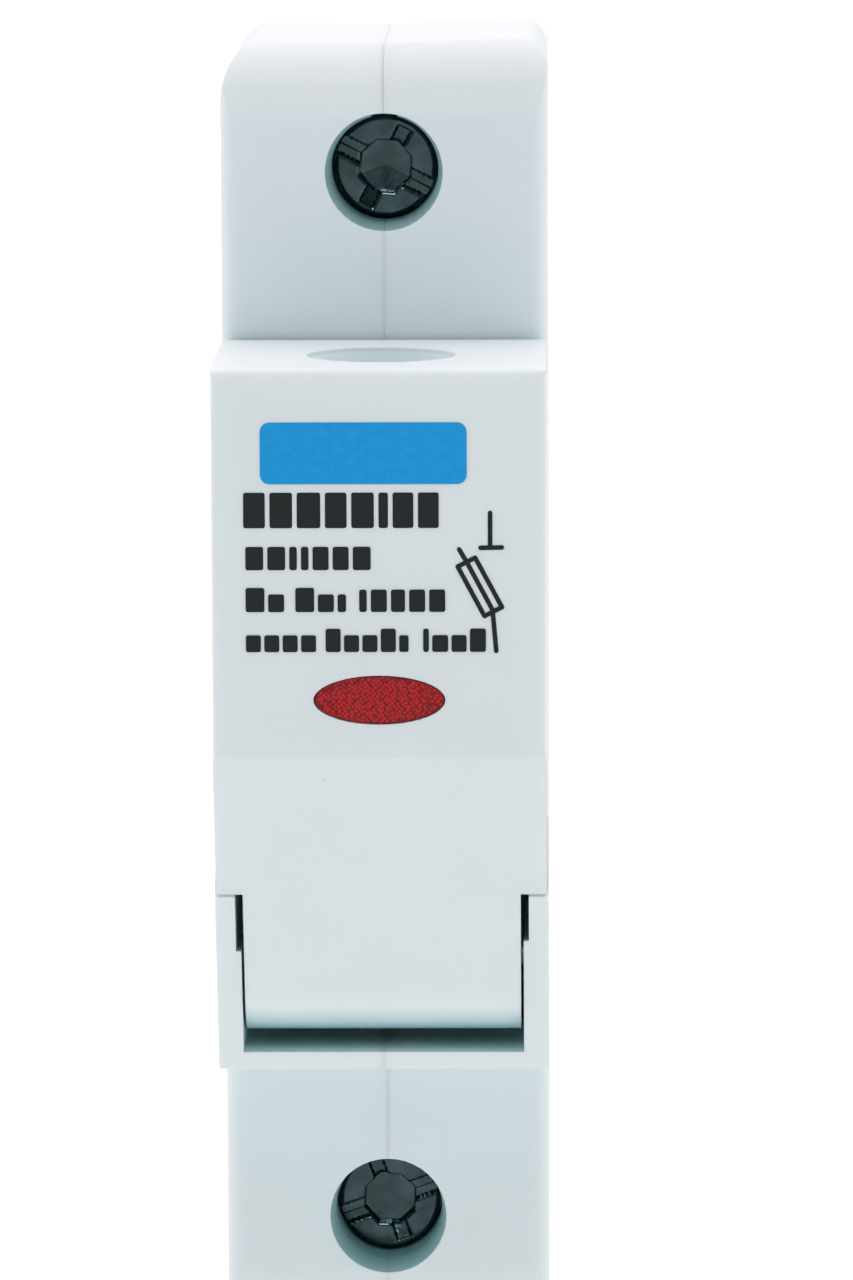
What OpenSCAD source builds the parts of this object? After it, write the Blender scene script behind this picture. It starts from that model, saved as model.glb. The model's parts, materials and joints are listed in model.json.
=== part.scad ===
// Modular fuse holder for one 10 x 38 cartridge fuse on a 35 mm rail.
// X is the module width, -Y faces the user, +Z is up.
// The origin is on the rail seat, level with the middle of the rail.

/* [Housing] */
// Width of one module
module_w = 18; // [17.5:0.1:18.5]
// Nose face to rail seat
depth = 60; // [60:1:64]
// How far the nose stands in front of the terminal shoulders
nose_d = 16.6; // [16:0.1:17]
// Half of the overall height
half_h = 36.2; // [36:0.1:38]
// Radius between a shoulder and its end face
end_r = 4.35; // [3:0.05:5]
// Radius along the vertical edges of the shoulders
edge_r = 0.9; // [0.4:0.1:1.4]
// Sag of the left end face at the parting line
sag_left = 0.1; // [0:0.05:0.3]
// Sag of the right end face at the parting line
sag_right = 0.3; // [0:0.05:0.4]

/* [Carrier] */
// Top of the fuse carrier above the rail centre
nose_top = 20; // [19.9:0.1:20.4]
// Height where the sloped lower front begins
crease_z = -0.8; // [-2:0.1:0]
// Height of the step onto the pivot lugs
step_z = -8.9; // [-9.2:0.05:-8.8]
// Underside of the pivot frame
frame_z = -19.1; // [-19.4:0.05:-19]
// Horizontal run per unit of height on the sloped front
slope = 0.41; // [0.38:0.01:0.43]
// Diameter of the blind grip recess
grip_d = 8; // [6:0.5:9]
// Depth of the blind grip recess
grip_h = 6.5; // [4:0.5:7]
// Width of the pivot tongue
tongue_w = 15; // [14.6:0.1:15.1]

/* [Fuse] */
// Diameter over the fuse caps
fuse_d = 10.3; // [10.2:0.05:10.3]
// Length of the fuse
fuse_l = 38; // [37.6:0.1:38]
// Length of one cap
cap_l = 10; // [9:0.5:10.5]

/* [Terminals] */
// Height of a terminal screw above the rail centre
screw_z = 29.2; // [29:0.1:29.4]
// Mouth of the screwdriver hole
access_d = 6.5; // [6.2:0.1:7]
// Screw head diameter
head_d = 5.6; // [5.2:0.1:5.7]
// Depth of the screw face below the shoulder
head_sink = 4.7; // [4:0.1:5.2]
// Conductor hole in the end face
wire_d = 7.6; // [7:0.1:7.8]

/* [Hidden] */
$fn = 64;
eps = 0.01;

half_w = module_w / 2;
front_y = -depth;
shoulder_y = front_y + nose_d;
wall = 1.35;
bay_x = half_w - wall;          // inside half width of the fuse bay
end_z = half_h - end_r;         // where a shoulder starts to round over
brow_y = -22;                   // behind here the end faces step in
recess_z = half_h - 1.2;

// Pivot of the fuse carrier
pivot_y = front_y + 9.5;
pivot_z = -13;
pin_r = 0.8;
pin_half = 8.4;
pin_clear = 0.05;
lug_r = 7.4;
lug_clear = 0.15;
// Distance from the pivot to the sloped front, so that the tongue runs into it
tongue_r = abs(pivot_y - front_y + slope * (pivot_z - crease_z)) / norm([1, slope]);

// Rear face of the carrier lever
carrier_rear = shoulder_y - 0.3;

// Fuse axis and bay
fuse_y = -36.8;
fuse_low = -23.9;
bay_rear_y = -26.5;
bay_top_z = 19.6;
bay_low_z = -24.3;
floor_z = -18.1;
sill_y = shoulder_y + 1.2;

// Contact strip
strip_t = 1.2;
strip_half = 3.4;
web_y = -28.3;
tongue_y = -21.2;
jaw_x = fuse_d / 2 + 0.05;
leaf_t = 1;

// Terminal cage: a square tube that the screw draws forwards
cage_x = 5.2;
cage_half = 3.6;
cage_front = -24.3;
cage_rear = -10.4;
cage_hole_x = 3.8;
cage_hole_front = -21.7;
cage_hole_rear = -12;
cage_travel = 7;
wire_y = -16;
shank_r = 2.5;
head_t = 2;
head_y = shoulder_y + head_sink;
throat_r = 2.975;
throat_y = shoulder_y + 2.5;
guide_y = head_y + head_t + 0.2;

// Rail and latch
rail_half = 17.5;
seat_half = 14.6;               // half height of the face that rests on the rail
seat_step = 0.3;                // the rear stands back by this beside it
hook_y = 1.25;
hook_rear = 4.6;
slide_x = 6.2;
groove_x = 7.6;
slide_front = -5.2;
plate_front = -3.9;
plate_rear = -2.1;
window_top = -20;
post_top = -30;
post_low = -31.4;

// Rivets that hold the shells together, as [y, z]
RIVETS = [[-37, 33.5], [-37, -33.5], [-38.4, 22.4], [-1.2, 20.6], [-8.2, -21.8], [-14, 1]];
rivet_r = 1;
rivet_head_r = 1.5;
rivet_head_t = 0.35;
rivet_sink = 0.5;
boss_r = 2.6;

// Points of an arc about [cx, cy] from angle a0 to a1
function arc(cx, cy, r, a0, a1, n = 24) =
    [for (i = [0:n]) let (a = a0 + (a1 - a0) * i / n) [cx + r * cos(a), cy + r * sin(a)]];

// Points of an elliptical arc
function ellipse_arc(cx, cy, rx, ry, a0, a1, n) =
    [for (i = [0:n]) let (a = a0 + (a1 - a0) * i / n) [cx + rx * cos(a), cy + ry * sin(a)]];

// Depth of the sloped front at height z
function front_at(z) = front_y + (z < crease_z ? slope * (crease_z - z) : 0);

// Draws a [y, z] outline and extrudes it over x0..x1
module side(x0, x1) {
    translate([x0, 0, 0])
        rotate([90, 0, 90])
            linear_extrude(x1 - x0) children();
}

// Draws an [x, z] outline and extrudes it over y0..y1
module face(y0, y1) {
    translate([0, y1, 0])
        rotate([90, 0, 0])
            linear_extrude(y1 - y0) children();
}

// Box from its two corners
module box(low, high) {
    translate(low) cube(high - low);
}

// Cylinder along X
module rod_x(y, z, r, x0, x1) {
    translate([x0, y, z]) rotate([0, 90, 0]) cylinder(h = x1 - x0, r = r);
}

// Cylinder along Y
module rod_y(x, z, r, y0, y1, r2 = undef) {
    translate([x, y0, z])
        rotate([-90, 0, 0])
            cylinder(h = y1 - y0, r1 = r, r2 = is_undef(r2) ? r : r2);
}

// Rectangle with two rounded corners on its low-y side
module round_front(x, y0, y1, r) {
    hull_y = y0 + r;
    union() {
        translate([-x, hull_y]) square([2 * x, y1 - hull_y]);
        translate([-x + r, y0]) square([2 * (x - r), r + eps]);
        for (s = [-1, 1]) translate([s * (x - r), hull_y]) circle(r);
    }
}

// ---------- Housing ----------

// Side outline of the body: shoulders, hook and rail seat
module body_profile() {
    corner = 1.5;
    polygon(concat(
        arc(shoulder_y + end_r, -end_z, end_r, 270, 180),
        arc(shoulder_y + end_r, end_z, end_r, 180, 90),
        [[brow_y, half_h], [brow_y + 1.2, recess_z]],
        arc(-8, recess_z - corner, corner, 90, 0, 8),
        [[-6.5, 24], [-5.5, 23], [hook_rear - 1, 23], [hook_rear, 22]],
        [[hook_rear, 16.6], [hook_rear - 1.6, 15], [hook_y, 15], [hook_y, rail_half + 0.2]],
        [[-seat_step, rail_half + 0.2], [-seat_step, seat_half], [0, seat_half], [0, -seat_half]],
        [[-seat_step, -seat_half], [-seat_step, 1 - recess_z], [-1, -recess_z]],
        [[brow_y + 1.2, -recess_z], [brow_y, -half_h]]
    ));
}

// Front outline with soft corners and end faces that sag to the parting line
module body_outline() {
    soft = [1.1, 2.4];
    soft_left = [2, 3.4];       // the upper left corner is rounder
    rise = sag_right - sag_left;
    low = -half_h;
    polygon(concat(
        ellipse_arc(half_w - soft.x, half_h + rise - soft.y, soft.x, soft.y, 0, 90, 15),
        [[0, half_h - sag_left]],
        ellipse_arc(soft_left.x - half_w, half_h - soft_left.y, soft_left.x, soft_left.y, 90, 180, 15),
        ellipse_arc(soft.x - half_w, low + soft.y, soft.x, soft.y, 180, 270, 15),
        ellipse_arc(half_w - soft.x, low + soft.y, soft.x, soft.y, 270, 360, 15)
    ));
}

// Body behind the shoulders, before it is hollowed
module body_block() {
    intersection() {
        union() {
            side(-half_w, half_w) body_profile();
            raised_end();
        }
        face(shoulder_y - 1, hook_rear + 1) body_outline();
        translate([0, 0, -half_h - 1])
            linear_extrude(2 * half_h + 3) round_front(half_w, shoulder_y, hook_rear + 1, edge_r);
    }
}

// The right half of the upper end stands higher by its draft
module raised_end() {
    rise = sag_right - sag_left;
    translate([0, 0, rise]) side(0, half_w) {
        polygon(concat(
            arc(shoulder_y + end_r, end_z, end_r, 180, 90),
            [[brow_y, half_h], [brow_y, end_z]]
        ));
    }
}

// Frame with the two pivot lugs
module pivot_frame() {
    round_r = 0.3;
    rear = shoulder_y + 2;
    a_front = 180 - asin((step_z - pivot_z) / lug_r);
    intersection() {
        side(-half_w, half_w) polygon(concat(
            arc(pivot_y, pivot_z, lug_r, a_front, 16),
            [[rear, pivot_z + 2], [rear, frame_z], [front_at(frame_z), frame_z]]
        ));
        translate([0, 0, frame_z - 1])
            linear_extrude(step_z - frame_z + 9) round_front(half_w, front_at(step_z), rear, round_r);
    }
}

// Everything the two shells are hollowed by
module hollows() {
    // Fuse bay and the pocket between the lugs
    side(-bay_x, bay_x) polygon([
        [front_y - 1, floor_z], [sill_y, floor_z], [sill_y, bay_low_z],
        [bay_rear_y, bay_low_z], [bay_rear_y, bay_top_z], [front_y - 1, bay_top_z]
    ]);
    // Shallow reliefs beside the tongue, with a ledge at the foot of the right one
    relief_x = bay_x + 0.28;
    relief_low = -12.1;
    ledge = 0.6;
    box([-relief_x, front_y, relief_low], [0, pivot_y + 4, 0]);
    box([0, front_y, relief_low + ledge], [relief_x, pivot_y + 4, 0]);
    // Seats of the pivot pin
    rod_x(pivot_y, pivot_z, pin_r + pin_clear, -pin_half - 0.1, pin_half + 0.1);
    for (s = [-1, 1]) {
        screw_way(s);
        cage_way(s);
    }
    strip_way(16, 1);
    strip_way(-23.9, -1);
    rear_void();
    latch_way();
    seat_x = rivet_sink + rivet_head_t + 0.03;
    for (p = RIVETS) {
        rod_x(p[0], p[1], rivet_r, -half_w - 1, half_w + 1);
        for (s = [-1, 1])
            translate([s * half_w, 0, 0]) rod_x(p[0], p[1], rivet_head_r + 0.1, -seat_x, seat_x);
    }
}

// Screwdriver hole with a key notch at the top of its throat
module screw_way(s) {
    z = s * screw_z;
    key_x = 0.72;
    key_top = 3.15;
    draft = (access_d / 2 - throat_r) / (throat_y - shoulder_y);
    rod_y(0, z, access_d / 2 + draft, shoulder_y - 1, throat_y, throat_r);
    rod_y(0, z, throat_r, throat_y - eps, guide_y);
    box([-key_x, shoulder_y + 0.25, z + 2], [key_x, head_y, z + key_top]);
    rod_y(0, z, shank_r + 0.15, guide_y - eps, cage_front);
}

// Pocket of a terminal cage and the conductor hole behind it
module cage_way(s) {
    z = s * screw_z;
    gap = 0.3;
    front = cage_front - cage_travel - 0.6;
    box([-cage_x - gap, front, z - cage_half - gap],
        [cage_x + gap, cage_rear + gap, z + cage_half + gap]);
    flare = 0.6;
    mirror([0, 0, s < 0 ? 1 : 0]) {
        translate([0, wire_y, screw_z + cage_half]) cylinder(h = 6, d = wire_d);
        translate([0, wire_y, recess_z - flare])
            cylinder(h = flare + eps, d1 = wire_d, d2 = wire_d + 2 * flare);
    }
}

// Slot for a contact strip on its way from the bay to its cage
module strip_way(z0, s) {
    gap = 0.15;
    x = strip_half + gap;
    rear = tongue_y + strip_t + gap;
    z1 = s * (screw_z - cage_half);
    low = min(z0, z1) - gap;
    high = max(z0 + strip_t, z1) + gap;
    box([-x, bay_rear_y - 1, z0 - gap], [x, rear, z0 + strip_t + gap]);
    box([-x, tongue_y - gap, s > 0 ? z0 - gap : low], [x, rear, s > 0 ? high : z0 + strip_t + gap]);
}

// Empty space between the fuse bay and the rail seat
module rear_void() {
    wall_y = 1.4;
    difference() {
        box([-bay_x, bay_rear_y + wall_y, -12.5], [bay_x, -wall_y, 13.4]);
        rod_x(RIVETS[5][0], RIVETS[5][1], boss_r, -half_w, half_w);
    }
}

// Slide for the rail latch, with a post that the latch spring stands on
module latch_way() {
    top = -14;
    difference() {
        union() {
            box([-slide_x, slide_front, -half_h - 1], [slide_x, hook_rear, -rail_half]);
            box([-slide_x, slide_front, -rail_half - 1], [slide_x, -1.2, top]);
            box([-groove_x, slide_front + 1, -half_h - 1], [groove_x, -1.8, top]);
        }
        box([-1.9, slide_front - 1, post_low], [1.9, -1.3, post_top]);
    }
}

// One shell: s is -1 for left and 1 for right
module shell(s) {
    color("whitesmoke") difference() {
        intersection() {
            union() {
                body_block();
                pivot_frame();
            }
            mirror([s < 0 ? 1 : 0, 0, 0])
                box([0, front_y - 1, -half_h - 2], [half_w + 1, hook_rear + 2, half_h + 2]);
        }
        hollows();
    }
}

module housing_left() { shell(-1); }
module housing_right() { shell(1); }

// Steel rivets with a flat head sunk in both side faces
module housing_rivets() {
    x = half_w - rivet_sink;
    color("silver") for (p = RIVETS) {
        rod_x(p[0], p[1], rivet_r - 0.02, -x, x);
        rod_x(p[0], p[1], rivet_head_r, -x, rivet_head_t - x);
        rod_x(p[0], p[1], rivet_head_r, x - rivet_head_t, x);
    }
}

// ---------- Contacts ----------

// One jaw leaf with a flared lip, for the +X side
module jaw_leaf(z0, z1) {
    tip_y = -38.4;
    translate([0, 0, z0]) linear_extrude(z1 - z0) polygon([
        [jaw_x, web_y + strip_t], [jaw_x, tip_y], [jaw_x + 1.1, tip_y - 2],
        [jaw_x + 1.9, tip_y - 1.6], [jaw_x + leaf_t, tip_y + 0.3], [jaw_x + leaf_t, web_y + strip_t]
    ]);
}

// Copper contact: two leaves, a web, and a strip that runs into the cage
module contact(z0, z1, strip_z, s) {
    x = jaw_x + leaf_t;
    web_low = min(z0, strip_z);
    web_high = max(z1, strip_z + strip_t);
    end = s * (screw_z + cage_half - 0.4);
    start = s > 0 ? strip_z : strip_z + strip_t;
    color("darkgoldenrod") {
        jaw_leaf(z0, z1);
        mirror([1, 0, 0]) jaw_leaf(z0, z1);
        box([-x, web_y, z0], [x, web_y + strip_t, z1]);
        box([-strip_half, web_y, web_low], [strip_half, web_y + strip_t, web_high]);
        box([-strip_half, web_y, strip_z], [strip_half, tongue_y + strip_t, strip_z + strip_t]);
        box([-strip_half, tongue_y, min(start, end)], [strip_half, tongue_y + strip_t, max(start, end)]);
    }
}

module upper_contact() { contact(4.5, 13.5, 16, 1); }
module lower_contact() { contact(-23.9, -15, -23.9, -1); }

// Steel clip that presses the two leaves together
module jaw_spring(z0) {
    x = jaw_x + leaf_t;
    t = 0.45;
    front = -37;
    rear = web_y + strip_t;
    color("gray") translate([0, 0, z0]) linear_extrude(4) difference() {
        translate([-x - t, front]) square([2 * (x + t), rear + t - front]);
        translate([-x, front - 1]) square([2 * x, rear - front + 1]);
    }
}

module upper_jaw_spring() { jaw_spring(7); }
module lower_jaw_spring() { jaw_spring(-21.5); }

// ---------- Terminals ----------

// Plated steel cage: threaded front plate, two sides and a rear plate
module cage(s) {
    z = s * screw_z;
    color("silver") difference() {
        box([-cage_x, cage_front, z - cage_half], [cage_x, cage_rear, z + cage_half]);
        box([-cage_hole_x, cage_hole_front, z - cage_half - 1],
            [cage_hole_x, cage_hole_rear, z + cage_half + 1]);
        rod_y(0, z, shank_r + 0.05, cage_front - 1, cage_hole_front + 1);
    }
}

module upper_cage() { cage(1); }
module lower_cage() { cage(-1); }

// Terminal screw with a slot crossed by a shorter cross
module screw(s) {
    z = s * screw_z;
    tip_y = tongue_y - 0.3;
    slot_angle = 27;
    color("dimgray") difference() {
        union() {
            rod_y(0, z, head_d / 2 - 0.35, head_y, head_y + 0.35 + eps, head_d / 2);
            rod_y(0, z, head_d / 2, head_y + 0.35, head_y + head_t);
            rod_y(0, z, shank_r, head_y + head_t - eps, tip_y - 0.5);
            rod_y(0, z, shank_r, tip_y - 0.5 - eps, tip_y, shank_r - 0.5);
        }
        translate([0, head_y, z]) rotate([0, slot_angle, 0]) {
            box([-4, -1, -0.4], [4, 1.1, 0.4]);
            box([-0.4, -1, -1.6], [0.4, 1.4, 1.6]);
            rod_y(0, 0, 1.25, -0.01, 1.6, 0.3);
        }
    }
}

module upper_screw() { screw(1); }
module lower_screw() { screw(-1); }

// ---------- Rail latch ----------

module rail_latch() {
    x = slide_x - 0.3;
    wing_x = groove_x - 0.3;
    low = -39.6;
    top = -14.4;
    hook_z = -15.2;
    color("black") difference() {
        union() {
            box([-x, plate_front, low], [x, plate_rear, top]);
            box([-wing_x, plate_front, -33.6], [wing_x, plate_rear, top]);
            side(-x, x) polygon([
                [plate_rear - eps, -23.8], [hook_rear - 1.4, -23.8], [hook_rear - 0.4, -22.8],
                [hook_rear - 0.4, -17.4], [hook_y + 1.2, hook_z], [hook_y, hook_z],
                [hook_y, -rail_half - 0.3], [plate_rear - eps, -rail_half - 0.3]
            ]);
        }
        box([-2.4, plate_front - 1, -35.6], [2.4, plate_rear + 1, window_top]);
        box([-2.4, plate_front - 1, -23.9], [2.4, 0.2, window_top]);
        box([-3.2, plate_front - 1, -38.4], [3.2, plate_rear + 1, -37]);
    }
}

// Coil spring between the post in the housing and the latch window
module latch_spring() {
    wire_r = 0.24;
    coil_r = 1.45;
    turns = 7;
    y = -3;
    low = post_top + wire_r + 0.02;
    rise = window_top - 0.02 - wire_r - low;
    color("gainsboro") for (i = [0:turns - 1])
        translate([0, y, low + rise * i / (turns - 1)]) rotate_extrude() translate([coil_r, 0]) circle(wire_r);
}

// ---------- Fuse carrier ----------

// Side outline of the carrier, which ends in a tongue rounded about the pivot
module carrier_profile() {
    front_r = 0.5;
    a_front = 180 + atan(slope);
    polygon(concat(
        arc(front_y + front_r, nose_top - front_r, front_r, 180, 90, 8),
        [[carrier_rear, nose_top], [carrier_rear, pivot_z + 3]],
        arc(pivot_y, pivot_z, tongue_r, 330, a_front),
        [[front_y, crease_z]]
    ));
}

// Side outline of what a pivot lug leaves no room for
module lug_room() {
    r = lug_r + lug_clear;
    top = step_z + 0.1;
    low = pivot_z - r;
    polygon(concat(
        arc(pivot_y, pivot_z, r, 0, 180 - asin((top - pivot_z) / r)),
        [[front_y - 1, top], [front_y - 1, low], [pivot_y + r, low]]
    ));
}

// Outer shape of the carrier with softened side edges
module nose_block() {
    x = half_w - 0.08;
    tongue_x = tongue_w / 2;
    edge = 0.25;
    low = pivot_z - lug_r;
    difference() {
        intersection() {
            side(-x, x) carrier_profile();
            translate([0, 0, low])
                linear_extrude(nose_top - low + 1) round_front(x, front_y, shoulder_y, edge);
        }
        side(-half_w, -tongue_x) lug_room();
        side(tongue_x, half_w) lug_room();
    }
}

// Outline of the indicator window, grown by g
module oval(g) {
    polygon([for (i = [0:47]) let (a = 7.5 * i) [(3.52 + g) * cos(a), (1.32 + g) * sin(a)]]);
}

lens_z = 2.3;
cell_top = nose_top - grip_h - 1.3;

module carrier_lever() {
    color("white") difference() {
        nose_block();
        translate([0, front_y + 8, nose_top - grip_h]) cylinder(h = grip_h + 1, d = grip_d);
        // Cell for the indicator, open at the rear
        side(-6.3, 6.3) polygon([
            [front_y + 1.7, cell_top], [front_y + 1.7, crease_z],
            [front_at(-6) + 1.7, -6], [shoulder_y, -6], [shoulder_y, cell_top]
        ]);
        translate([0, 0, lens_z]) face(front_y - 1, front_y + 2) oval(0);
        rod_x(pivot_y, pivot_z, pin_r + 0.01, -half_w, half_w);
    }
}

// Insulating cradle that closes the nose and holds the fuse
module fuse_cradle() {
    front = carrier_rear + 0.02;
    rear = fuse_y - fuse_d / 2 - 0.3;
    x = 7.3;
    color("white") difference() {
        union() {
            box([-x, front, -6.6], [x, rear, 18.4]);
            box([-6.1, front - 2, -5.6], [6.1, front + eps, cell_top - 0.2]);
            for (s = [-1, 1]) box([min(s * 5.4, s * x), rear - eps, -13], [max(s * 5.4, s * x), -35, -1.2]);
            box([-x, front + 0.3, -13], [x, rear, -6]);
        }
        box([-4.6, front - 3, -4.4], [4.6, front - 0.8, cell_top - 1.4]);
        for (z = [8.4, -5.4]) box([-1.4, front - 3, z - 0.6], [1.4, rear + 1, z + 0.6]);
        translate([0, fuse_y, -14]) cylinder(h = 40, r = fuse_d / 2 + 0.02);
    }
}

module pivot_pin() {
    color("silver") rod_x(pivot_y, pivot_z, pin_r, -pin_half, pin_half);
}

// Red lens, slightly domed, with a flange behind the wall
module indicator_lens() {
    color("firebrick") translate([0, 0, lens_z]) {
        face(front_y + 0.03, front_y + 1.72) oval(-0.07);
        face(front_y + 1.72, front_y + 2.4) oval(0.5);
    }
}

// Small glow lamp across the nose
module indicator_lamp() {
    color("orange") {
        rod_x(front_y + 5, lens_z, 1.3, -3.6, 3);
        for (z = [-0.5, 0.5]) rod_x(front_y + 5, lens_z + z, 0.2, 2.9, 4.6);
    }
}

module indicator_board() {
    color("seagreen") box([-5.2, front_y + 7, -4.4], [5.2, front_y + 8, cell_top - 0.6]);
}

// Series resistor lying across the board
module indicator_resistor() {
    y = front_y + 8 + 1.05;
    z = -1.6;
    color("tan") {
        rod_x(y, z, 0.95, -2.4, 2.4);
        rod_x(y, z, 0.22, -4.2, 4.2);
    }
}

// Thin bronze strip from the board to a fuse cap
module sense_strip(z0, z1) {
    t = 0.25;
    y0 = front_y + 8.02;
    cap_y = fuse_y - fuse_d / 2 - 0.02;
    dir = sign(z1 - z0);
    color("goldenrod") {
        box([-1, y0, z0 - t / 2], [1, cap_y - t, z0 + t / 2]);
        box([-1, cap_y - t - eps, min(z0 - dir * t / 2, z1)], [1, cap_y, max(z0 - dir * t / 2, z1)]);
    }
}

module upper_sense_strip() { sense_strip(8.4, 11.5); }
module lower_sense_strip() { sense_strip(-5.4, -17.4); }

// ---------- Cartridge fuse ----------

tube_r = fuse_d / 2 - 0.4;
bore_r = 3.2;
element_half = [1.2, 0.15];

module fuse_tube() {
    color("ivory") translate([0, fuse_y, fuse_low + 0.5]) difference() {
        cylinder(h = fuse_l - 1, r = tube_r);
        translate([0, 0, -1]) cylinder(h = fuse_l + 2, r = bore_r);
    }
}

// Plated cap pressed over the end of the tube
module fuse_cap(s) {
    z = s > 0 ? fuse_low + fuse_l : fuse_low;
    color("silver") translate([0, fuse_y, z]) mirror([0, 0, s > 0 ? 1 : 0]) difference() {
        cylinder(h = cap_l, r = fuse_d / 2);
        translate([0, 0, 0.5]) cylinder(h = cap_l, r = tube_r);
    }
}

module fuse_cap_upper() { fuse_cap(1); }
module fuse_cap_lower() { fuse_cap(-1); }

// Notched silver strip soldered between the caps
module fuse_element() {
    low = fuse_low + 0.5;
    high = low + fuse_l - 1;
    color("gainsboro") difference() {
        box([-element_half[0], fuse_y - element_half[1], low],
            [element_half[0], fuse_y + element_half[1], high]);
        for (i = [1:3], s = [-1, 1])
            rod_y(s * element_half[0], low + (high - low) * i / 4, 0.8, fuse_y - 1, fuse_y + 1);
    }
}

// Quartz sand round the element
module fuse_filler() {
    color("wheat") translate([0, fuse_y, fuse_low + 0.5]) difference() {
        cylinder(h = fuse_l - 1, r = bore_r);
        translate([-element_half[0], -element_half[1], -1])
            cube([2 * element_half[0], 2 * element_half[1], fuse_l + 2]);
    }
}

housing_left();
housing_right();
housing_rivets();
upper_contact();
lower_contact();
upper_jaw_spring();
lower_jaw_spring();
upper_cage();
lower_cage();
upper_screw();
lower_screw();
rail_latch();
latch_spring();
carrier_lever();
fuse_cradle();
pivot_pin();
indicator_lens();
indicator_lamp();
indicator_board();
indicator_resistor();
upper_sense_strip();
lower_sense_strip();
fuse_tube();
fuse_cap_upper();
fuse_cap_lower();
fuse_element();
fuse_filler();
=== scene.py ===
import json
import math

import bmesh
import bpy
from mathutils import Matrix, Vector


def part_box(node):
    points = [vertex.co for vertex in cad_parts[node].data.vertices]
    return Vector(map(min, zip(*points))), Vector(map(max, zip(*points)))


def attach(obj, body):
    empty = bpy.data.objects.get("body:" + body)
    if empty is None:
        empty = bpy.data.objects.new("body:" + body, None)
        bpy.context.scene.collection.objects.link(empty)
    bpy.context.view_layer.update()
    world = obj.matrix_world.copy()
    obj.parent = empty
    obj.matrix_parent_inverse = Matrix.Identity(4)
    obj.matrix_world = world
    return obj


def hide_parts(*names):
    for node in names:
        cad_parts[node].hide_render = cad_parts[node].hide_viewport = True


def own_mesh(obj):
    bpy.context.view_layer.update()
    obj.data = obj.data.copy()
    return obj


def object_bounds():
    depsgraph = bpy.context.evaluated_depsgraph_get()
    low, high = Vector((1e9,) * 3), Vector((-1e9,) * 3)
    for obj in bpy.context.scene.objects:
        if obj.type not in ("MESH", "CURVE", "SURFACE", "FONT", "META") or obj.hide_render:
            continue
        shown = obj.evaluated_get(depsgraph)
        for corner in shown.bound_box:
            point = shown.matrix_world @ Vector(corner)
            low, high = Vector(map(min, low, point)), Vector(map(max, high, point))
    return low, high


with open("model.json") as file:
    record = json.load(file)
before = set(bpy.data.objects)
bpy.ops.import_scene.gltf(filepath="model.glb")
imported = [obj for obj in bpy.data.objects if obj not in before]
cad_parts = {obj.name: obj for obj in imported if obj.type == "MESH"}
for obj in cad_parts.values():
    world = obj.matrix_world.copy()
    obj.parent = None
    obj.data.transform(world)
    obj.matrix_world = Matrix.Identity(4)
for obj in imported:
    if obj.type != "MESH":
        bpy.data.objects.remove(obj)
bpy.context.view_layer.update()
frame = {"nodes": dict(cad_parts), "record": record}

MM = 0.001
NODES = frame["nodes"]


# ---------- Camera ----------

# Lens and sensor height in mm, place in the row frame, and angles in radians
LENS = 226.603
SENSOR = 36.0
CAMERA_AT = Vector((9.50, -485.2, 63.43)) * MM
YAW, PITCH, ROLL = -0.0164, 0.1353, -0.0038


def make_camera():
    cy, sy = math.cos(YAW), math.sin(YAW)
    cp, sp = math.cos(PITCH), math.sin(PITCH)
    cr, sr = math.cos(ROLL), math.sin(ROLL)
    right = Vector((cy, -sy, 0))
    ahead = Vector((cp * sy, cp * cy, -sp))
    up = Vector((sp * sy, sp * cy, cp))
    turned_right = cr * right + sr * up
    turned_up = cr * up - sr * right
    data = bpy.data.cameras.new("camera")
    data.sensor_fit = "VERTICAL"
    data.sensor_height = SENSOR
    data.lens = LENS
    data.clip_start = 0.01
    data.clip_end = 50
    camera = bpy.data.objects.new("camera", data)
    bpy.context.scene.collection.objects.link(camera)
    turn = Matrix((turned_right, turned_up, -ahead)).transposed()
    camera.matrix_world = Matrix.Translation(CAMERA_AT) @ turn.to_4x4()
    bpy.context.scene.camera = camera


# ---------- Node helpers ----------

def feed(links, slot, value):
    """Gives a socket's value to an input, or a plain value as it is."""
    if isinstance(value, bpy.types.NodeSocket):
        links.new(value, slot)
    else:
        slot.default_value = value


def calc(nodes, links, operation, first, second=0):
    node = nodes.new("ShaderNodeMath")
    node.operation = operation
    feed(links, node.inputs[0], first)
    feed(links, node.inputs[1], second)
    return node.outputs[0]


def mix(nodes, links, kind, amount, first, second):
    node = nodes.new("ShaderNodeMix")
    node.data_type = "RGBA"
    node.blend_type = kind
    feed(links, node.inputs["Factor"], amount)
    feed(links, node.inputs["A"], first)
    feed(links, node.inputs["B"], second)
    return node.outputs["Result"]


def remap(nodes, links, value, before, after):
    """Maps the range before onto the range after, and holds it there."""
    node = nodes.new("ShaderNodeMapRange")
    node.inputs["From Min"].default_value = before[0]
    node.inputs["From Max"].default_value = before[1]
    node.inputs["To Min"].default_value = after[0]
    node.inputs["To Max"].default_value = after[1]
    links.new(value, node.inputs["Value"])
    return node.outputs[0]


def place_xyz(nodes, links):
    """The object's own coordinates, which are metres in the row frame, split in three."""
    where = nodes.new("ShaderNodeTexCoord")
    split = nodes.new("ShaderNodeSeparateXYZ")
    links.new(where.outputs["Object"], split.inputs[0])
    return split.outputs


# ---------- Light ----------

def sky_ramp(nodes, stops):
    node = nodes.new("ShaderNodeValToRGB")
    for element, (place, color) in zip(node.color_ramp.elements, stops):
        element.position = place
        element.color = (*color, 1)
    return node


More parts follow.
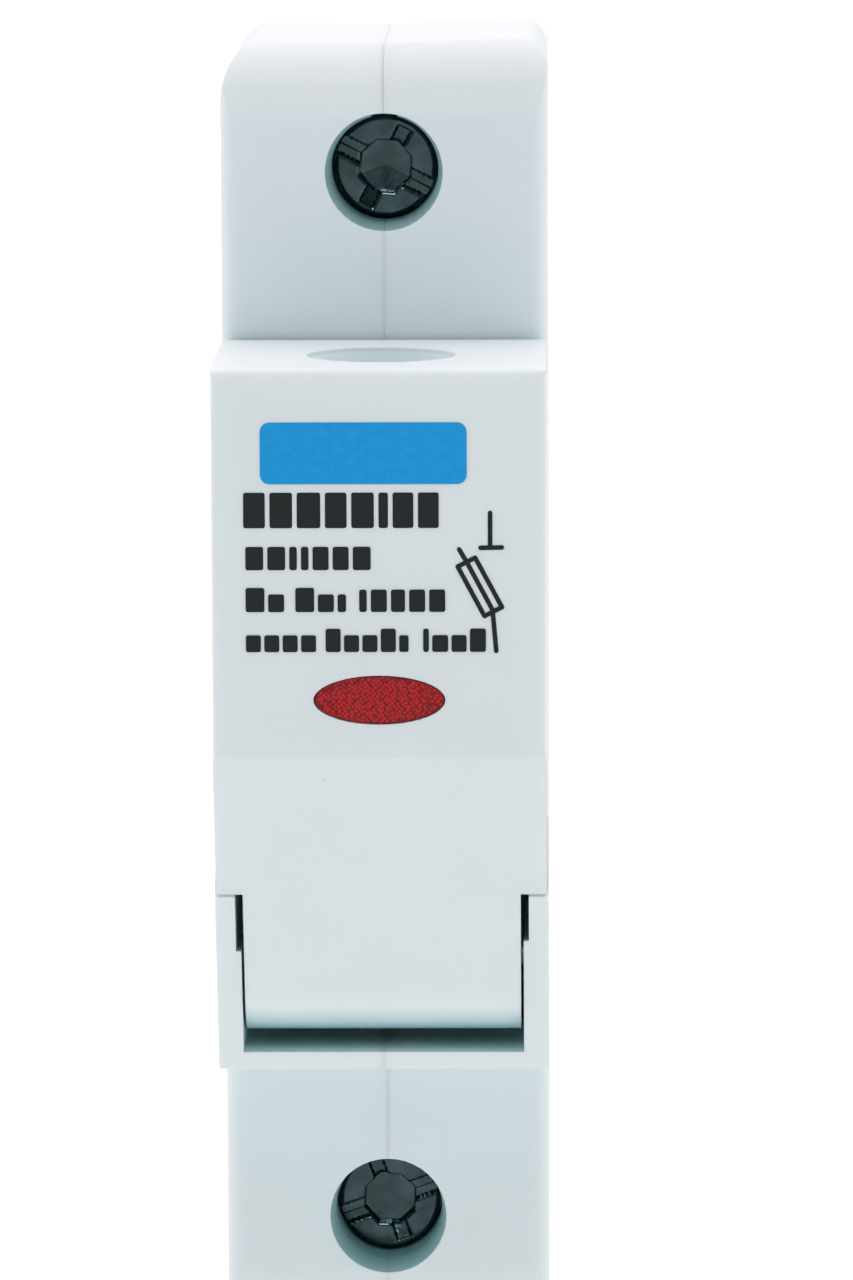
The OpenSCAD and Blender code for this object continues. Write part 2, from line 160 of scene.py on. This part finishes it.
def make_world():
    """A white tent: bright above and beside, darker in a cone round the camera."""
    world = bpy.data.worlds.new("tent")
    bpy.context.scene.world = world
    world.use_nodes = True
    nodes, links = world.node_tree.nodes, world.node_tree.links
    nodes.clear()
    out = nodes.new("ShaderNodeOutputWorld")
    back = nodes.new("ShaderNodeBackground")
    where = nodes.new("ShaderNodeTexCoord")
    split = nodes.new("ShaderNodeSeparateXYZ")
    height = sky_ramp(nodes, [(0.05, (0.80, 0.80, 0.81)), (0.80, (1.72, 1.46, 1.45))])
    cone = sky_ramp(nodes, [(0.40, (1, 1, 1)), (0.78, (0.10, 0.13, 0.14))])
    links.new(where.outputs["Generated"], split.inputs[0])
    links.new(split.outputs["Z"], height.inputs[0])
    links.new(calc(nodes, links, "MULTIPLY", split.outputs["Y"], -1), cone.inputs[0])
    tent = mix(nodes, links, "MULTIPLY", 1, height.outputs["Color"], cone.outputs["Color"])
    links.new(tent, back.inputs["Color"])
    links.new(back.outputs[0], out.inputs[0])


def make_lamp(name, at, size, power, wash=True):
    """Small soft box that looks at the middle of the carrier; without wash it only makes highlights."""
    data = bpy.data.lights.new(name, "AREA")
    data.shape = "SQUARE"
    data.size = size
    data.energy = power
    lamp = bpy.data.objects.new(name, data)
    lamp.visible_diffuse = wash
    bpy.context.scene.collection.objects.link(lamp)
    low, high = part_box("carrier_lever")
    target = Vector([(a + b) / 2 for a, b in zip(low, high)])
    place = Vector(at) * MM
    turn = (place - target).to_track_quat("Z", "Y").to_matrix()
    lamp.matrix_world = Matrix.Translation(place) @ turn.to_4x4()


# ---------- Materials ----------

def new_material(name):
    mat = bpy.data.materials.new(name)
    mat.use_nodes = True
    shader = mat.node_tree.nodes["Principled BSDF"]
    return mat, mat.node_tree.nodes, mat.node_tree.links, shader


def grain(nodes, links, scale, detail=2.0, rough=0.5, stretch=(1, 1, 1)):
    """Noise over the object's own coordinates."""
    where = nodes.new("ShaderNodeTexCoord")
    fit = nodes.new("ShaderNodeMapping")
    fit.inputs["Scale"].default_value = stretch
    tex = nodes.new("ShaderNodeTexNoise")
    tex.inputs["Scale"].default_value = scale
    tex.inputs["Detail"].default_value = detail
    tex.inputs["Roughness"].default_value = rough
    links.new(where.outputs["Object"], fit.inputs[0])
    links.new(fit.outputs[0], tex.inputs["Vector"])
    return tex


def ramp(nodes, links, source, stops):
    node = nodes.new("ShaderNodeValToRGB")
    elements = node.color_ramp.elements
    while len(elements) < len(stops):
        elements.new(0.5)
    for element, (place, color) in zip(elements, stops):
        element.position = place
        element.color = (*color, 1)
    links.new(source, node.inputs[0])
    return node


def roughness_from(nodes, links, shader, source, low, high):
    links.new(remap(nodes, links, source, (0.3, 0.7), (low, high)), shader.inputs["Roughness"])


def bump_from(nodes, links, shader, source, height, strength=1.0, normal=None):
    bump = nodes.new("ShaderNodeBump")
    bump.inputs["Distance"].default_value = height
    bump.inputs["Strength"].default_value = strength
    links.new(source, bump.inputs["Height"])
    if normal is not None:
        links.new(normal, bump.inputs["Normal"])
    links.new(bump.outputs[0], shader.inputs["Normal"])


def within(nodes, links, value, low, high, soft):
    """1 where value lies between low and high, easing off over soft."""
    half = (high - low) / 2
    off = calc(nodes, links, "SUBTRACT", value, low + half)
    size = calc(nodes, links, "ABSOLUTE", off)
    return remap(nodes, links, size, (half - soft, half + soft), (1, 0))


def parting_line(nodes, links, color):
    """Darkens a hairline where the two shells meet, more in some places than in others."""
    half, soft, front_y = 0.010 * MM, 0.020 * MM, -45 * MM
    at = place_xyz(nodes, links)
    side = calc(nodes, links, "ABSOLUTE", at["X"])
    near = remap(nodes, links, side, (half, half + soft), (1, 0))
    behind = calc(nodes, links, "GREATER_THAN", at["Y"], front_y)
    patch = grain(nodes, links, 90, 1)
    amount = remap(nodes, links, patch.outputs["Fac"], (0.4, 0.65), (0.02, 0.10))
    line = calc(nodes, links, "MULTIPLY", near, behind)
    mask = calc(nodes, links, "MULTIPLY", line, amount)
    return mix(nodes, links, "MIX", mask, color, (0.10, 0.14, 0.15, 1))


def paint_light_and_shade_box(nodes, links, color, box, soft, tint):
    """Paints shade and light into the colour: multiplies it by tint inside a box given in mm, easing off over
    soft; a tint below 1 is painted shade, one above 1 painted light.
    """
    at = place_xyz(nodes, links)
    inside = 1
    for axis, (low, high) in zip("XYZ", box):
        part = within(nodes, links, at[axis], low * MM, high * MM, soft * MM)
        inside = calc(nodes, links, "MULTIPLY", inside, part)
    return mix(nodes, links, "MULTIPLY", inside, color, (*tint, 1))


def plastic(name, color, rough=(0.42, 0.52), bevel=0.12, speck=True, painted_light_and_shade=(), seam=False):
    """Satin moulded plastic: spark-eroded grain, faint flow clouds, a few specks and boxes of painted shade
    and painted light.
    """
    mat, nodes, links, shader = new_material(name)
    clouds = grain(nodes, links, 160, 3)
    tint = [c * 0.985 for c in color]
    body = ramp(nodes, links, clouds.outputs["Fac"], [(0.35, tint), (0.65, color)])
    last = body.outputs["Color"]
    if speck:
        dots = nodes.new("ShaderNodeTexVoronoi")
        where = nodes.new("ShaderNodeTexCoord")
        dots.inputs["Scale"].default_value = 210
        links.new(where.outputs["Object"], dots.inputs["Vector"])
        spot = ramp(nodes, links, dots.outputs["Distance"], [(0.012, (0.55, 0.6, 0.62)), (0.022, (1, 1, 1))])
        last = mix(nodes, links, "MULTIPLY", 0.7, last, spot.outputs["Color"])
    # Painted shade and painted light, one box at a time
    for box, edge, tint in painted_light_and_shade:
        last = paint_light_and_shade_box(nodes, links, last, box, edge, tint)
    if seam:
        last = parting_line(nodes, links, last)
    links.new(last, shader.inputs["Base Color"])
    fine = grain(nodes, links, 9000, 2)
    roughness_from(nodes, links, shader, fine.outputs["Fac"], *rough)
    soft = nodes.new("ShaderNodeBevel")
    soft.samples = 6
    soft.inputs["Radius"].default_value = bevel * MM
    bump_from(nodes, links, shader, fine.outputs["Fac"], 0.004 * MM, 0.6, soft.outputs[0])
    shader.inputs["Specular IOR Level"].default_value = 0.35
    shader.inputs["Subsurface Weight"].default_value = 0.2
    shader.inputs["Subsurface Radius"].default_value = (0.9, 0.97, 1.0)
    shader.inputs["Subsurface Scale"].default_value = 1.2 * MM
    return mat


def metal(name, color, rough, scratch=1.0, stretch=(1, 1, 1), edge=0.05, cloud=0.12):
    """Plated or rolled metal with cloudy plating and fine scratches."""
    mat, nodes, links, shader = new_material(name)
    shader.inputs["Metallic"].default_value = 1
    clouds = grain(nodes, links, 700, 4, 0.6)
    dark = [c * (1 - cloud) for c in color]
    body = ramp(nodes, links, clouds.outputs["Fac"], [(0.3, dark), (0.7, color)])
    links.new(body.outputs["Color"], shader.inputs["Base Color"])
    lines = grain(nodes, links, 5000, 3, 0.7, stretch)
    roughness_from(nodes, links, shader, lines.outputs["Fac"], rough[0], rough[1])
    soft = nodes.new("ShaderNodeBevel")
    soft.samples = 4
    soft.inputs["Radius"].default_value = edge * MM
    bump_from(nodes, links, shader, lines.outputs["Fac"], 0.004 * MM, 0.5 * scratch, soft.outputs[0])
    return mat


def ink(name, color):
    """Pad-printed ink: nearly flat, with a slightly uneven film."""
    mat, nodes, links, shader = new_material(name)
    shader.inputs["Specular IOR Level"].default_value = 0.15
    film = grain(nodes, links, 2500, 2)
    thin = [min(1, c * 1.12 + 0.002) for c in color]
    body = ramp(nodes, links, film.outputs["Fac"], [(0.4, color), (0.75, thin)])
    links.new(body.outputs["Color"], shader.inputs["Base Color"])
    roughness_from(nodes, links, shader, film.outputs["Fac"], 0.5, 0.62)
    return mat


def red_lens(name):
    """Red polycarbonate with the prismatic pattern of its underside showing through."""
    mat, nodes, links, shader = new_material(name)
    cells = nodes.new("ShaderNodeTexVoronoi")
    where = nodes.new("ShaderNodeTexCoord")
    lean = nodes.new("ShaderNodeMapping")
    lean.inputs["Rotation"].default_value = (0, math.radians(38), 0)
    cells.inputs["Scale"].default_value = 5000
    cells.inputs["Randomness"].default_value = 0.5
    links.new(where.outputs["Object"], lean.inputs[0])
    links.new(lean.outputs[0], cells.inputs["Vector"])
    body = ramp(nodes, links, cells.outputs["Distance"],
                [(0.2, (0.56, 0.010, 0.016)), (0.6, (0.15, 0.002, 0.006))])
    links.new(body.outputs["Color"], shader.inputs["Base Color"])
    bump_from(nodes, links, shader, cells.outputs["Distance"], 0.02 * MM, 0.8)
    shader.inputs["Roughness"].default_value = 0.35
    shader.inputs["Specular IOR Level"].default_value = 0.2
    shader.inputs["Coat Weight"].default_value = 0.08
    shader.inputs["Coat Roughness"].default_value = 0.2
    return mat


def speckled(name, color, other, scale, rough=(0.5, 0.7), height=0.01):
    """Two-tone grainy surface, for laminate, ceramic, lacquer and sand."""
    mat, nodes, links, shader = new_material(name)
    tex = grain(nodes, links, scale, 3, 0.6)
    body = ramp(nodes, links, tex.outputs["Fac"], [(0.38, color), (0.62, other)])
    links.new(body.outputs["Color"], shader.inputs["Base Color"])
    roughness_from(nodes, links, shader, tex.outputs["Fac"], *rough)
    bump_from(nodes, links, shader, tex.outputs["Fac"], height * MM, 0.6)
    return mat


def glass(name):
    mat, nodes, links, shader = new_material(name)
    tex = grain(nodes, links, 900, 2)
    body = ramp(nodes, links, tex.outputs["Fac"], [(0.3, (0.95, 0.80, 0.66)), (0.7, (0.98, 0.90, 0.80))])
    links.new(body.outputs["Color"], shader.inputs["Base Color"])
    shader.inputs["Transmission Weight"].default_value = 0.8
    shader.inputs["Roughness"].default_value = 0.08
    return mat


WHITE = (0.70, 0.83, 0.865)
# Boxes in mm, each with a soft edge in mm and a tint, fitted to the photo's light: painted shade and painted
# light in the plastic's colour.
# A tint below 1 paints shade towards blue-green, and one above 1 paints light.
PAINTED_LIGHT_AND_SHADE_HOUSING = [
    # Painted shade on the walls of the screw holes
    (((-3.4, 3.4), (-43.3, -36.0), (-32.5, 32.5)), 0.05, (0.54, 0.76, 0.75)),
    # Painted light in the pocket under the tongue
    (((-7.9, 7.9), (-52.3, -45.0), (-18.95, -15.0)), 0.05, (1.12, 1.20, 1.14)),
]
PAINTED_LIGHT_AND_SHADE_CARRIER = [
    # Painted light in the grip recess
    (((-4.2, 4.2), (-56.2, -47.8), (13.3, 19.8)), 0.05, (1.15, 1.14, 1.12)),
    # Painted shade along the lower edge of the tongue
    (((-12.0, 12.0), (-64.0, -40.0), (-24.0, -16.3)), 0.9, (0.42, 0.66, 0.70)),
]
MATERIALS = {
    "housing_plastic": plastic("housing_plastic", WHITE, bevel=0.04, painted_light_and_shade=PAINTED_LIGHT_AND_SHADE_HOUSING, seam=True),
    "carrier_plastic": plastic("carrier_plastic", WHITE, painted_light_and_shade=PAINTED_LIGHT_AND_SHADE_CARRIER),
    "rivet_steel": metal("rivet_steel", (0.62, 0.63, 0.64), (0.3, 0.45)),
    "contact_copper": metal("contact_copper", (0.83, 0.55, 0.33), (0.25, 0.4), stretch=(1, 0.1, 1)),
    "spring_steel": metal("spring_steel", (0.55, 0.56, 0.58), (0.25, 0.38)),
    "plated_cage": metal("plated_cage", (0.66, 0.67, 0.66), (0.32, 0.48)),
    "zinc_screw": metal("zinc_screw", (0.05, 0.085, 0.092), (0.12, 0.22), scratch=0.3, cloud=0.45),
    "latch_plastic": plastic("latch_plastic", (0.035, 0.037, 0.04), (0.4, 0.55), speck=False),
    "lens_red": red_lens("lens_red"),
    "lamp_glass": glass("lamp_glass"),
    "board_laminate": speckled("board_laminate", (0.03, 0.16, 0.07), (0.04, 0.2, 0.09), 3000, (0.3, 0.4)),
    "resistor_body": speckled("resistor_body", (0.62, 0.48, 0.30), (0.68, 0.55, 0.36), 2500, (0.3, 0.4)),
    "sense_bronze": metal("sense_bronze", (0.75, 0.55, 0.30), (0.22, 0.36)),
    "fuse_ceramic": speckled("fuse_ceramic", (0.80, 0.79, 0.74), (0.85, 0.84, 0.80), 1500,
                             (0.35, 0.5), 0.004),
    "cap_nickel": metal("cap_nickel", (0.74, 0.73, 0.70), (0.14, 0.26)),
    "element_silver": metal("element_silver", (0.86, 0.86, 0.85), (0.2, 0.32)),
    "quartz_sand": speckled("quartz_sand", (0.55, 0.50, 0.40), (0.75, 0.71, 0.60), 4000, (0.8, 0.95), 0.05),
}
BLACK_INK = ink("black_ink", (0.010, 0.017, 0.019))
BLUE_INK = ink("blue_ink", (0.006, 0.31, 0.70))


def paint_nodes():
    for part in frame["record"]["subparts"]:
        obj = NODES[part["node"]]
        obj.data.materials.clear()
        obj.data.materials.append(MATERIALS[part["material_slot"]])


# ---------- Mesh helpers ----------

def make_object(name, verts, faces, material, smooth=None):
    mesh = bpy.data.meshes.new(name)
    mesh.from_pydata([tuple(v) for v in verts], [], faces)
    mesh.validate()
    bm = bmesh.new()
    bm.from_mesh(mesh)
    bmesh.ops.recalc_face_normals(bm, faces=bm.faces)
    bm.to_mesh(mesh)
    bm.free()
    obj = bpy.data.objects.new(name, mesh)
    bpy.context.scene.collection.objects.link(obj)
    obj.data.materials.append(material)
    if smooth is not None:
        for face in mesh.polygons:
            face.use_smooth = True
        mesh.set_sharp_from_angle(angle=math.radians(smooth))
    return obj


def plates(name, outlines, face_y, thickness, material):
    """Flat closed plates on the nose face, one for each (x, z) outline."""
    # Each plate stands a little prouder than the one before, so that no two faces coincide
    stagger = 0.02
    verts, faces = [], []
    for number, outline in enumerate(outlines):
        front = face_y - thickness * (1 + stagger * number)
        n, base = len(outline), len(verts)
        verts += [(x, front, z) for x, z in outline]
        verts += [(x, face_y + 0.5 * thickness, z) for x, z in outline]
        faces.append(tuple(base + i for i in range(n)))
        faces.append(tuple(base + n + i for i in reversed(range(n))))
        faces += [(base + i, base + n + i, base + n + (i + 1) % n, base + (i + 1) % n) for i in range(n)]
    return make_object(name, verts, faces, material)


def rounded_bar(x0, x1, z0, z1, r, steps=5):
    r = min(r, (x1 - x0) / 2, (z1 - z0) / 2)
    corners = [(x1 - r, z1 - r, 0), (x0 + r, z1 - r, 90), (x0 + r, z0 + r, 180), (x1 - r, z0 + r, 270)]
    points = []
    for cx, cz, start in corners:
        for i in range(steps + 1):
            a = math.radians(start + 90 * i / steps)
            points.append((cx + r * math.cos(a), cz + r * math.sin(a)))
    return points


def stroke(a, b, width, steps=8):
    """Outline of a round-ended line from a to b."""
    r = width / 2
    lean = math.atan2(b[1] - a[1], b[0] - a[0])
    points = []
    for (cx, cz), start in ((b, lean - math.pi / 2), (a, lean + math.pi / 2)):
        for i in range(steps + 1):
            t = start + math.pi * i / steps
            points.append((cx + r * math.cos(t), cz + r * math.sin(t)))
    return points


# ---------- Print on the nose ----------

def word(x, z, low, high, widths, gap):
    """Plain blocks that stand for a printed word; the first of each three is taller."""
    round_r = 0.12 * MM
    blocks = []
    for i, w in enumerate(widths):
        top = high if i % 3 == 0 else low
        blocks.append(rounded_bar(x, x + w, z, z + top, round_r))
        x += w + gap
    return blocks


def make_print():
    face_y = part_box("carrier_lever")[0][1]
    film = 0.02 * MM
    rows = [
        # start x, base z, lower and full height, block widths, gap, in mm
        (-7.2, 11.55, 1.9, 1.9, [1.15, 1.2, 1.25, 1.15, 1.2, 0.5, 1.1, 1.1], 0.25),
        (-7.1, 9.3, 1.25, 1.25, [0.95, 0.95, 0.4, 0.4, 0.85, 0.85, 0.95], 0.22),
        (-7.1, 7.05, 0.95, 1.3, [1.0, 0.85], 0.2),
        (-4.45, 7.05, 0.95, 1.3, [1.0, 0.85, 0.45], 0.2),
        (-1.05, 7.05, 1.2, 1.2, [0.4, 0.85, 0.75, 0.85, 0.85], 0.22),
        (-7.1, 4.9, 0.9, 0.9, [0.8, 0.8, 0.8, 0.8], 0.18),
        (-2.85, 4.9, 0.9, 1.25, [0.8, 0.8, 0.8, 0.8, 0.5], 0.18),
        (2.35, 4.9, 0.9, 1.25, [0.3, 0.85, 0.8, 0.85], 0.18),
    ]
    blocks = []
    for x, z, low, high, widths, gap in rows:
        blocks += word(x * MM, z * MM, low * MM, high * MM, [w * MM for w in widths], gap * MM)
    text = plates("printed_blocks", blocks, face_y, film, BLACK_INK)

    bar = rounded_bar(-6.3 * MM, 4.7 * MM, 13.9 * MM, 17.2 * MM, 0.5 * MM)
    band = plates("printed_band", [bar], face_y, film, BLUE_INK)

    # Circuit symbol of a fuse with its contact: ends of its strokes, in mm
    line = 0.25 * MM
    points = {
        "rest_top": (5.93, 12.35), "rest": (5.93, 10.55),
        "rest_left": (5.42, 10.48), "rest_right": (6.55, 10.5),
        "arm": (4.28, 10.4), "body_top": (4.68, 9.72), "body_low": (6.05, 7.15), "foot": (6.24, 4.95),
        "a": (4.2, 9.48), "b": (5.13, 9.95), "c": (6.55, 7.3), "d": (5.62, 6.82),
    }
    at = {key: (x * MM, z * MM) for key, (x, z) in points.items()}
    pairs = [
        ("rest_top", "rest"), ("rest_left", "rest_right"), ("arm", "body_top"), ("body_top", "body_low"),
        ("body_low", "foot"), ("a", "b"), ("b", "c"), ("c", "d"), ("d", "a"),
    ]
    strokes = [stroke(at[p], at[q], line) for p, q in pairs]
    symbol = plates("printed_symbol", strokes, face_y, film, BLACK_INK)
    for piece in (text, band, symbol):
        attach(piece, "carrier")


# ---------- Terminal screws ----------

def smoothstep(low, high, value):
    t = max(0.0, min(1.0, (value - low) / (high - low)))
    return t * t * (3 - 2 * t)


def wall(inside, depth):
    """Depth at a signed distance inside an edge, in mm: a worn round edge, then a steep wall."""
    worn, steep, slope = 0.20, 0.05, 0.45
    if inside < -worn or depth <= 0:
        return 0.0
    sunk = min(depth, 0.5 * slope / worn * (min(inside, 0.0) + worn) ** 2)
    return sunk + (depth - sunk) * smoothstep(0, steep, inside)


def recess_depth(x, z):
    """Depth of the drive at (x, z) in mm: an eight-sided cup, a slot and a shorter cross."""
    cup_r, slot_half, cross_half, cross_end = 1.42, 0.54, 0.40, 2.4
    # Depths: the slot above and below its middle, the cross at its ends with its slope, the cup with its fall
    slot_upper, slot_lower = 0.42, 0.60
    cross_t, cross_slope = 0.12, 0.27
    cup_t, cup_fall = 1.05, 0.07
    sides = [math.pi / 8 + i * math.pi / 4 for i in range(4)]
    inner = max(abs(x * math.cos(a) + z * math.sin(a)) for a in sides)
    slot = wall(slot_half - abs(z), slot_upper if z > 0 else slot_lower)
    to_end = cross_end - abs(z)
    cross = wall(min(cross_half - abs(x), to_end), cross_t + cross_slope * max(0.0, to_end))
    arms = max(slot, cross)
    return arms + wall(cup_r - inner, cup_t - cup_fall * inner / cup_r - arms)


def make_screw(node, lean):
    low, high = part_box(node)
    r = (high[0] - low[0]) / 2
    mid_x, mid_z = (low[0] + high[0]) / 2, (low[2] + high[2]) / 2
    face_y = low[1]
    shank_r, thread_h, pitch = 2.5 * MM, 0.3 * MM, 0.8 * MM
    head_t, tip_t, thread_end = 2.0 * MM, 0.5 * MM, 0.6 * MM
    # Shares of the pitch at which a thread's groove starts, is deepest and ends
    groove = (0.12, 0.5, 0.88)
    # Width and depth of the worn edge of the head
    edge_w, edge_t = 0.22 * MM, 0.12 * MM
    rings, around = 96, 192
    verts, faces = [(mid_x, face_y + recess_depth(0, 0) * MM, mid_z)], []
    cos_l, sin_l = math.cos(lean), math.sin(lean)
    for i in range(1, rings + 1):
        d = r * i / rings
        round_off = edge_t * max(0.0, (d - (r - edge_w)) / edge_w) ** 2
        for k in range(around):
            a = math.tau * k / around
            x, z = d * math.cos(a), d * math.sin(a)
            u, v = (x * cos_l + z * sin_l) / MM, (z * cos_l - x * sin_l) / MM
            depth = recess_depth(u, v) * MM
            verts.append((mid_x + x, face_y + max(depth, round_off), mid_z + z))
    for k in range(around):
        faces.append((0, 1 + k, 1 + (k + 1) % around))
    for i in range(rings - 1):
        a, b = 1 + i * around, 1 + (i + 1) * around
        for k in range(around):
            n = (k + 1) % around
            faces.append((a + k, b + k, b + n, a + n))
    # Rim, underside and threaded shank, ring by ring
    profile = [(r, face_y + head_t)]
    y, tip = face_y + head_t, high[1]
    profile.append((shank_r, y))
    while y + pitch < tip - thread_end:
        for share, sunk in zip(groove, (0, thread_h, 0)):
            profile.append((shank_r - sunk, y + share * pitch))
        y += pitch
    profile += [(shank_r, tip - tip_t), (shank_r - tip_t, tip)]
    start = 1 + (rings - 1) * around
    for radius, y in profile:
        base = len(verts)
        for k in range(around):
            a = math.tau * k / around
            verts.append((mid_x + radius * math.cos(a), y, mid_z + radius * math.sin(a)))
        for k in range(around):
            n = (k + 1) % around
            faces.append((start + k, base + k, base + n, start + n))
        start = base
    faces.append(tuple(start + k for k in range(around)))
    piece = make_object(node + "_turned", verts, faces, MATERIALS["zinc_screw"], 32)
    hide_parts(node)
    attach(piece, "upper_terminal_screw" if node == "upper_screw" else "lower_terminal_screw")


# ---------- Indicator lens ----------

def make_lens():
    low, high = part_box("indicator_lens")
    flange_t = 0.68 * MM
    # Half axes of the oval in the window
    a_x = 3.45 * MM
    a_z = 1.25 * MM
    mid_x, mid_z = (low[0] + high[0]) / 2, (low[2] + high[2]) / 2
    front = low[1]
    rings, around = 40, 144
    # How far the rim falls back, and the depth, size and lean of the pits, which end short of the rim
    dome = 0.06 * MM
    pit_t = 0.02 * MM
    cell = 0.17 * MM
    lean_x, lean_z = 0.35, 0.2
    pits_fade, pits_end = 0.93, 0.97
    verts, faces = [(mid_x, front, mid_z)], []
    for i in range(1, rings + 1):
        s = i / rings
        for k in range(around):
            t = math.tau * k / around
            x, z = s * a_x * math.cos(t), s * a_z * math.sin(t)
            across = math.sin(math.tau * (x + lean_x * z) / cell)
            along = math.sin(math.tau * (z - lean_z * x) / cell)
            weave = 0.5 + 0.5 * across * along
            pit = pit_t * weave * (1 - smoothstep(pits_fade, pits_end, s))
            verts.append((mid_x + x, front + dome * s * s + pit, mid_z + z))
    for k in range(around):
        faces.append((0, 1 + k, 1 + (k + 1) % around))
    for i in range(rings - 1):
        p, q = 1 + i * around, 1 + (i + 1) * around
        for k in range(around):
            n = (k + 1) % around
            faces.append((p + k, q + k, q + n, p + n))
    start = 1 + (rings - 1) * around
    step_y = high[1] - flange_t
    grow = (high[0] - low[0]) / 2 - a_x
    for extra, y in ((0, step_y), (grow, step_y), (grow, high[1])):
        base = len(verts)
        for k in range(around):
            t = math.tau * k / around
            verts.append((mid_x + (a_x + extra) * math.cos(t), y, mid_z + (a_z + extra) * math.sin(t)))
        for k in range(around):
            n = (k + 1) % around
            faces.append((start + k, base + k, base + n, start + n))
        start = base
    faces.append(tuple(start + k for k in range(around)))
    piece = make_object("lens_prismatic", verts, faces, MATERIALS["lens_red"], 40)
    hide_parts("indicator_lens")
    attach(piece, "carrier")


# ---------- Latch spring ----------

def tube(name, path, radius, material, sides=10):
    """Closed tube along a list of points."""
    verts, faces = [], []
    for i, p in enumerate(path):
        ahead = (path[min(i + 1, len(path) - 1)] - path[max(i - 1, 0)]).normalized()
        side = ahead.cross(Vector((0, 0, 1)))
        side = side.normalized() if side.length > 1e-6 else Vector((1, 0, 0))
        over = side.cross(ahead)
        for k in range(sides):
            a = math.tau * k / sides
            verts.append(p + radius * (math.cos(a) * side + math.sin(a) * over))
    for i in range(len(path) - 1):
        for k in range(sides):
            n = (k + 1) % sides
            faces.append((i * sides + k, i * sides + n, (i + 1) * sides + n, (i + 1) * sides + k))
    last = (len(path) - 1) * sides
    faces.append(tuple(range(sides)))
    faces.append(tuple(last + k for k in reversed(range(sides))))
    return make_object(name, verts, faces, material, 40)


def make_spring():
    low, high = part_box("latch_spring")
    wire = 0.24 * MM
    coil = (high[0] - low[0]) / 2 - wire
    mid = Vector(((low[0] + high[0]) / 2, (low[1] + high[1]) / 2, 0))
    turns, per_turn = 7.0, 28
    # Turns that lie flat at each end
    closed = 0.9
    steps = int(turns * per_turn)
    z0, z1 = low[2] + wire, high[2] - wire
    path = []
    for i in range(steps + 1):
        t = turns * i / steps
        share = max(0.0, min(1.0, (t - closed) / (turns - 2 * closed)))
        z = z0 + wire * min(t / closed, 1.0) + (z1 - z0 - 2 * wire) * share
        z += wire * max(0.0, (t - turns + closed) / closed)
        a = math.tau * t
        path.append(mid + Vector((coil * math.cos(a), coil * math.sin(a), min(z, z1))))
    piece = tube("latch_coil", path, wire, MATERIALS["spring_steel"])
    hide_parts("latch_spring")
    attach(piece, "housing")
    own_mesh(piece)


# ---------- Floor ----------

def make_floor():
    joints = {joint["name"]: joint for joint in frame["record"]["behaviour"]["joints"]}
    # Low enough to clear the latch at its limit
    gap = 0.2 * MM
    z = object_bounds()[0][2] - joints["latch_slide"]["range_m"][1] - gap
    # Half width in metres, and cells to a side
    half, n = 4.0, 8
    ticks = [-half + 2 * half * i / n for i in range(n + 1)]
    verts = [(x, y, z) for x in ticks for y in ticks]
    faces = [
        (i * (n + 1) + k, (i + 1) * (n + 1) + k, (i + 1) * (n + 1) + k + 1, i * (n + 1) + k + 1)
        for i in range(n) for k in range(n)
    ]
    mat, nodes, links, shader = new_material("floor_paper")
    tex = grain(nodes, links, 40, 3)
    body = ramp(nodes, links, tex.outputs["Fac"], [(0.3, (0.45, 0.45, 0.445)), (0.7, (0.47, 0.47, 0.465))])
    links.new(body.outputs["Color"], shader.inputs["Base Color"])
    shader.inputs["Roughness"].default_value = 0.9
    shader.inputs["Specular IOR Level"].default_value = 0.1
    shader.inputs["Emission Color"].default_value = (1, 0.96, 0.94, 1)
    shader.inputs["Emission Strength"].default_value = 0.6
    floor = make_object("floor", verts, faces, mat)


# ---------- Scene ----------

make_camera()
make_world()
make_lamp("lamp_upper_left", (-110, -440, 190), 45 * MM, 0.05)
make_lamp("lamp_lower_right", (120, -440, -30), 30 * MM, 0.02)
make_lamp("lamp_over", (-30, -520, 175), 90 * MM, 0.45, False)
make_lamp("lamp_under", (30, -440, -145), 60 * MM, 0.14, False)
make_floor()
paint_nodes()
make_print()
for screw_node, lean in (("upper_screw", -27), ("lower_screw", 20)):
    make_screw(screw_node, math.radians(lean))
make_lens()
make_spring()
bpy.context.scene.view_settings.view_transform = "Standard"
